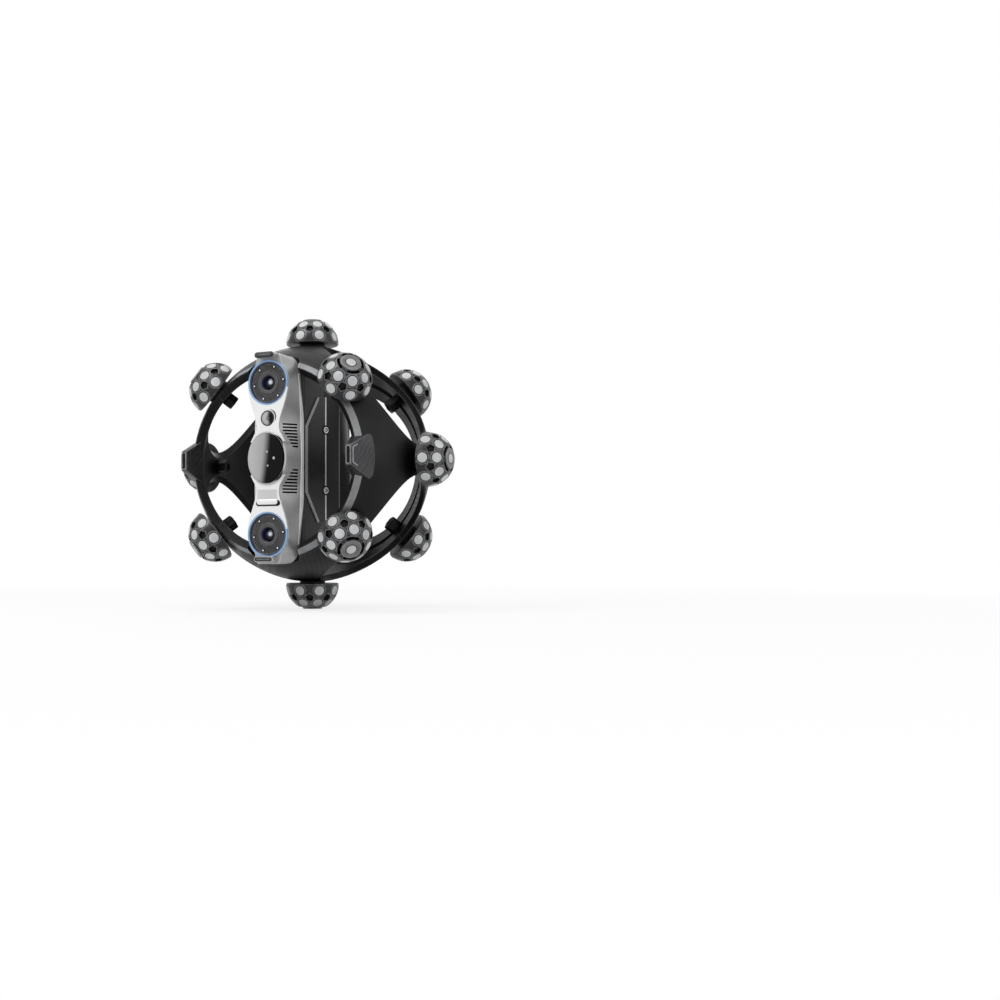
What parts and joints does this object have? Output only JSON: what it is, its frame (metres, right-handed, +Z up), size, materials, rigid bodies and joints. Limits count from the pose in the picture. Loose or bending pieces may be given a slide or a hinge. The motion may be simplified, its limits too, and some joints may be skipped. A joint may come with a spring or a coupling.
{
  "type": "handheld optical 3-d scanner",
  "caption": "Handheld optical scanner: a slim camera body with a dark window inside an open round cage that carries domed marker targets, with a hand grip behind.",
  "frame": {"origin": "middle of the hand grip, on the object's middle plane", "axes": "+X to the right as seen from the front, +Y from the front towards the hand, +Z up"},
  "size_m": [0.2882, 0.1812, 0.2772],
  "materials": {
    "shell": "satin black moulded carbon-filled shell",
    "dome": "gunmetal paint, satin",
    "nut": "black moulded nylon",
    "silver": "silver-grey metallic paint, satin",
    "bright": "bright silver-white paint",
    "charcoal": "charcoal, fine grain",
    "glow": "light-blue diffuser that glows",
    "glass": "dark coated glass",
    "board": "green circuit board",
    "inner": "machined, satin",
    "rubber": "black rubber",
    "button": "grey moulded plastic"
  },
  "bodies": {
    "scanner": {"cage_top_petal": "shell", "cage_bottom_petal": "shell", "cage_left_petal": "shell", "cage_right_petal": "shell", "top_target_dome": "dome", "bottom_target_dome": "dome", "left_target_dome": "dome", "right_target_dome": "dome", "front_upper_left_target_dome": "dome", "front_upper_right_target_dome": "dome", "front_lower_left_target_dome": "dome", "front_lower_right_target_dome": "dome", "rear_upper_left_target_dome": "dome", "rear_upper_right_target_dome": "dome", "rear_lower_left_target_dome": "dome", "rear_lower_right_target_dome": "dome", "top_dome_nut": "nut", "bottom_dome_nut": "nut", "left_dome_nut": "nut", "right_dome_nut": "nut", "front_upper_left_dome_nut": "nut", "front_upper_right_dome_nut": "nut", "front_lower_left_dome_nut": "nut", "front_lower_right_dome_nut": "nut", "rear_upper_left_dome_nut": "nut", "rear_upper_right_dome_nut": "nut", "rear_lower_left_dome_nut": "nut", "rear_lower_right_dome_nut": "nut", "front_housing": "silver", "upper_front_plate": "bright", "lower_front_plate": "bright", "laser_window": "bright", "middle_housing": "charcoal", "rear_housing": "charcoal", "left_side_panel": "charcoal", "right_side_panel": "charcoal", "upper_lens_plate": "charcoal", "lower_lens_plate": "charcoal", "top_insert": "charcoal", "bottom_insert": "charcoal", "left_grip_shell": "charcoal", "right_grip_shell": "charcoal", "upper_ring_light": "glow", "lower_ring_light": "glow", "upper_lens": "glass", "lower_lens": "glass", "window_glass": "glass", "finder_lens": "glass", "main_board": "board", "projector_engine": "inner", "upper_camera_module": "inner", "lower_camera_module": "inner", "cover_pin": "inner", "grip_pad": "rubber", "battery": "rubber"},
    "trigger": {"scan_trigger": "button"},
    "plus": {"plus_button": "button"},
    "power": {"power_button": "button"},
    "minus": {"minus_button": "button"},
    "cover": {"socket_cover": "button"}
  },
  "joints": [
    {"name": "trigger_press", "type": "slide", "parent": "scanner", "child": "trigger", "axis": [0, 1, 0], "range_m": [0, 0.003], "stiffness_N_per_m": 700},
    {"name": "plus_press", "type": "slide", "parent": "scanner", "child": "plus", "axis": [0, -1, 0], "range_m": [0, 0.001], "stiffness_N_per_m": 900},
    {"name": "power_press", "type": "slide", "parent": "scanner", "child": "power", "axis": [0, -1, 0], "range_m": [0, 0.001], "stiffness_N_per_m": 900},
    {"name": "minus_press", "type": "slide", "parent": "scanner", "child": "minus", "axis": [0, -1, 0], "range_m": [0, 0.001], "stiffness_N_per_m": 900},
    {"name": "cover_swing", "type": "hinge", "parent": "scanner", "child": "cover", "pos_m": [0, 0.0313, -0.068], "axis": [-1, 0, 0], "range_deg": [0, 110]}
  ]
}
